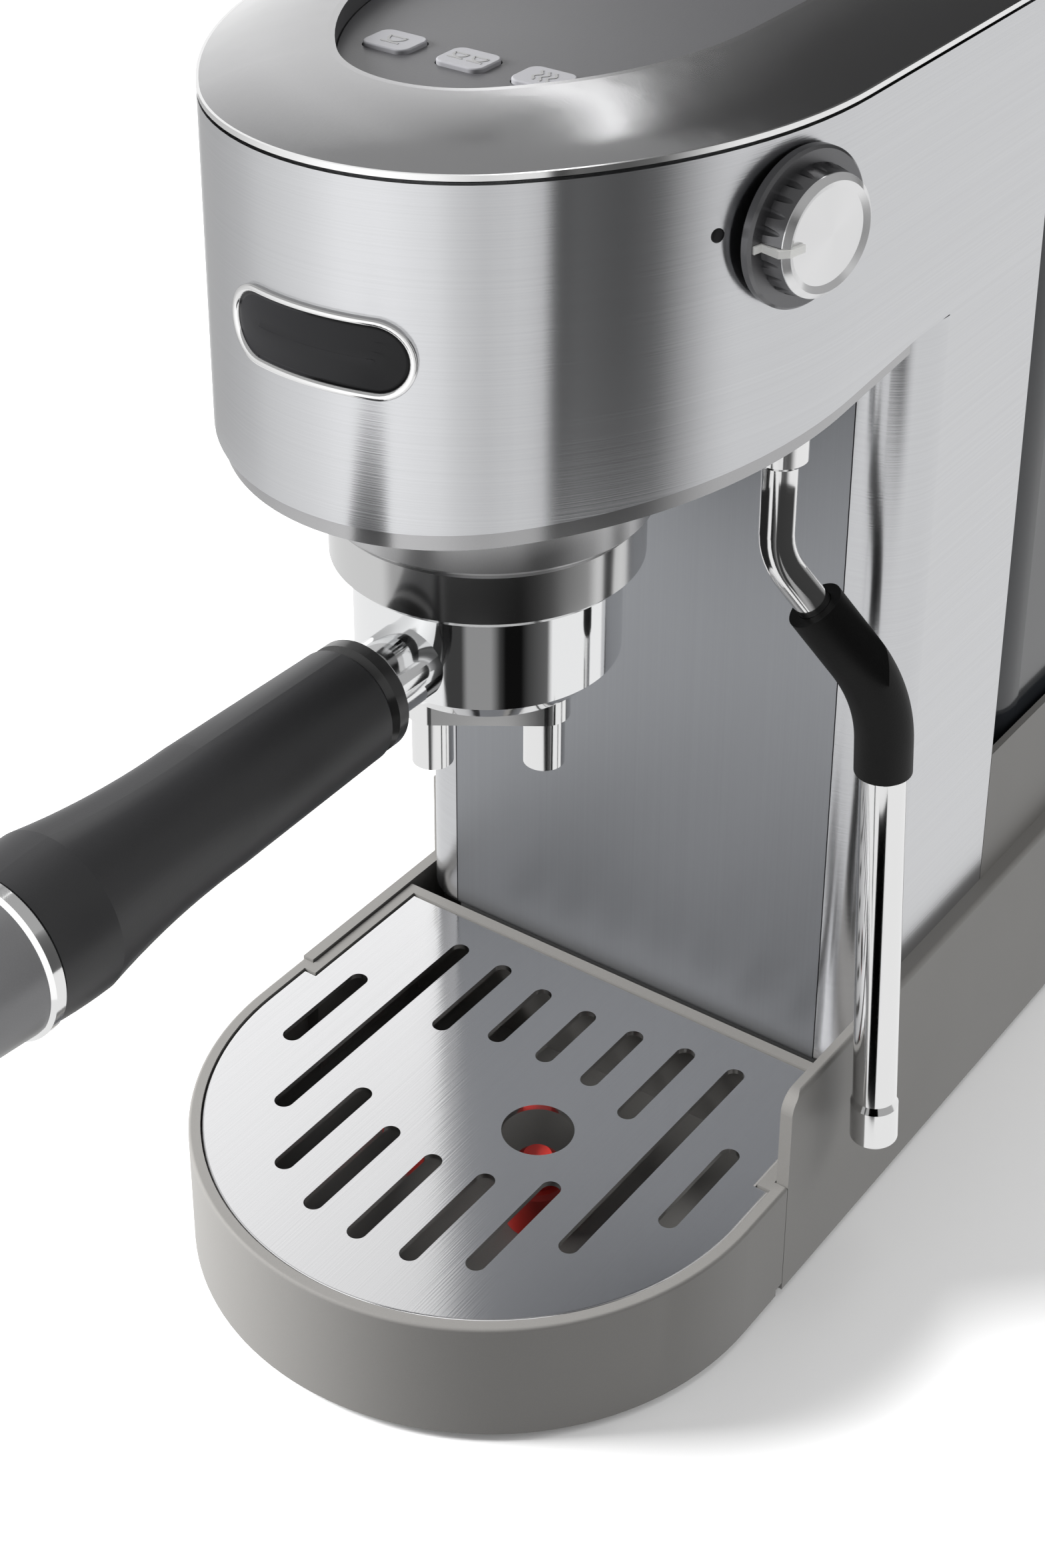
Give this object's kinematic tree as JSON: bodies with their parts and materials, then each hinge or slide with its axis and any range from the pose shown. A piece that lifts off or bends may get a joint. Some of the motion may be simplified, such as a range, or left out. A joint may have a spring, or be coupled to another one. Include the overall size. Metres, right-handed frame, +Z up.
{
  "type": "pump espresso machine",
  "caption": "Slim pump espresso machine with a rounded steel head, side steam wand and knob, portafilter, drip tray and rear water tank.",
  "frame": {"origin": "on the surface that the feet stand on, under the centre of the base's footprint", "axes": "+Z up, -Y out of the front, +X towards the steam knob and wand"},
  "size_m": [0.1651, 0.412, 0.313],
  "materials": {
    "steel": "brushed",
    "grid_steel": "fine brushed",
    "chrome": "polished",
    "satin_grey": "satin",
    "base_grey": "satin",
    "dark_plastic": "matt",
    "plate_grey": "satin",
    "button_grey": "satin",
    "gloss_black": "gloss",
    "matt_black": "satin",
    "cap_grey": "satin",
    "knob_grey": "satin",
    "white_mark": "satin",
    "rubber": "matt",
    "tank_smoke": "smoked clear",
    "valve_black": "satin",
    "float_red": "satin",
    "cast_alloy": "cast",
    "brass": "turned",
    "stainless": "plain",
    "board_green": "satin",
    "switch_black": "satin",
    "pump_body": "satin",
    "hose_white": "satin"
  },
  "bodies": {
    "machine": {"base_housing": "base_grey", "base_floor": "dark_plastic", "rubber_feet": "rubber", "base_screws": "stainless", "cord_gland": "rubber", "steel_casing": "steel", "splash_plate": "steel", "inner_frame": "dark_plastic", "rear_panel": "dark_plastic", "head_bottom_cover": "satin_grey", "top_trim": "chrome", "top_bezel": "satin_grey", "top_plate": "plate_grey", "button_board": "board_green", "button_switches": "switch_black", "steam_valve": "brass", "wand_nut": "chrome", "group_collar": "chrome", "group_core": "brass", "group_gasket": "rubber", "shower_screen": "stainless", "screen_screw": "stainless", "tank_dock": "dark_plastic", "tank_surround": "base_grey", "heater_block": "cast_alloy", "pump_mount": "rubber", "pump": "pump_body", "pressure_hose": "hose_white", "suction_hose": "hose_white", "control_board": "board_green"},
    "tray": {"drip_tray": "base_grey", "tray_feet": "rubber"},
    "grid": {"cup_grid": "grid_steel"},
    "float": {"tray_float": "float_red"},
    "left_button": {"button_left": "button_grey"},
    "middle_button": {"button_middle": "button_grey"},
    "right_button": {"button_right": "button_grey"},
    "knob": {"steam_knob": "knob_grey", "knob_pointer": "white_mark", "knob_shaft": "stainless"},
    "wand": {"wand_tube": "chrome", "wand_grip": "rubber", "wand_sleeve": "chrome", "wand_tip": "chrome"},
    "portafilter": {"portafilter_holder": "chrome", "filter_basket": "stainless", "twin_spout": "chrome", "handle_flange": "gloss_black", "handle_grip": "matt_black", "handle_ring": "chrome", "handle_cap": "cap_grey"},
    "tank": {"water_tank": "tank_smoke", "lid_pin": "stainless", "tank_valve": "valve_black"},
    "lid": {"tank_lid": "tank_smoke"}
  },
  "joints": [
    {"name": "tray_slide", "type": "slide", "parent": "machine", "child": "tray", "axis": [0, -1, 0], "range_m": [0, 0.12]},
    {"name": "grid_lift", "type": "slide", "parent": "tray", "child": "grid", "axis": [0, 0, 1], "range_m": [0, 0.06]},
    {"name": "float_rise", "type": "slide", "parent": "tray", "child": "float", "axis": [0, 0, 1], "range_m": [0, 0.01]},
    {"name": "left_press", "type": "slide", "parent": "machine", "child": "left_button", "axis": [0, 0, -1], "range_m": [0, 0.001], "stiffness_N_per_m": 900, "springref_m": -0.0005},
    {"name": "middle_press", "type": "slide", "parent": "machine", "child": "middle_button", "axis": [0, 0, -1], "range_m": [0, 0.001], "stiffness_N_per_m": 900, "springref_m": -0.0005},
    {"name": "right_press", "type": "slide", "parent": "machine", "child": "right_button", "axis": [0, 0, -1], "range_m": [0, 0.001], "stiffness_N_per_m": 900, "springref_m": -0.0005},
    {"name": "knob_turn", "type": "hinge", "parent": "machine", "child": "knob", "pos_m": [0.06757, -0.0663, 0.2852], "axis": [0.9779, -0.2091, 0], "range_deg": [0, 120]},
    {"name": "wand_swing", "type": "hinge", "parent": "machine", "child": "wand", "pos_m": [0.06, -0.054, 0.2], "axis": [0, 0, 1], "range_deg": [-80, 3]},
    {"name": "portafilter_twist", "type": "hinge", "parent": "machine", "child": "portafilter", "pos_m": [0, -0.076, 0.2], "axis": [0, 0, 1], "range_deg": [-45, 0]},
    {"name": "tank_lift", "type": "slide", "parent": "machine", "child": "tank", "axis": [0, 0, 1], "range_m": [0, 0.15]},
    {"name": "lid_open", "type": "hinge", "parent": "tank", "child": "lid", "pos_m": [0, 0.1493, 0.29805], "axis": [-1, 0, 0], "range_deg": [0, 100]}
  ]
}
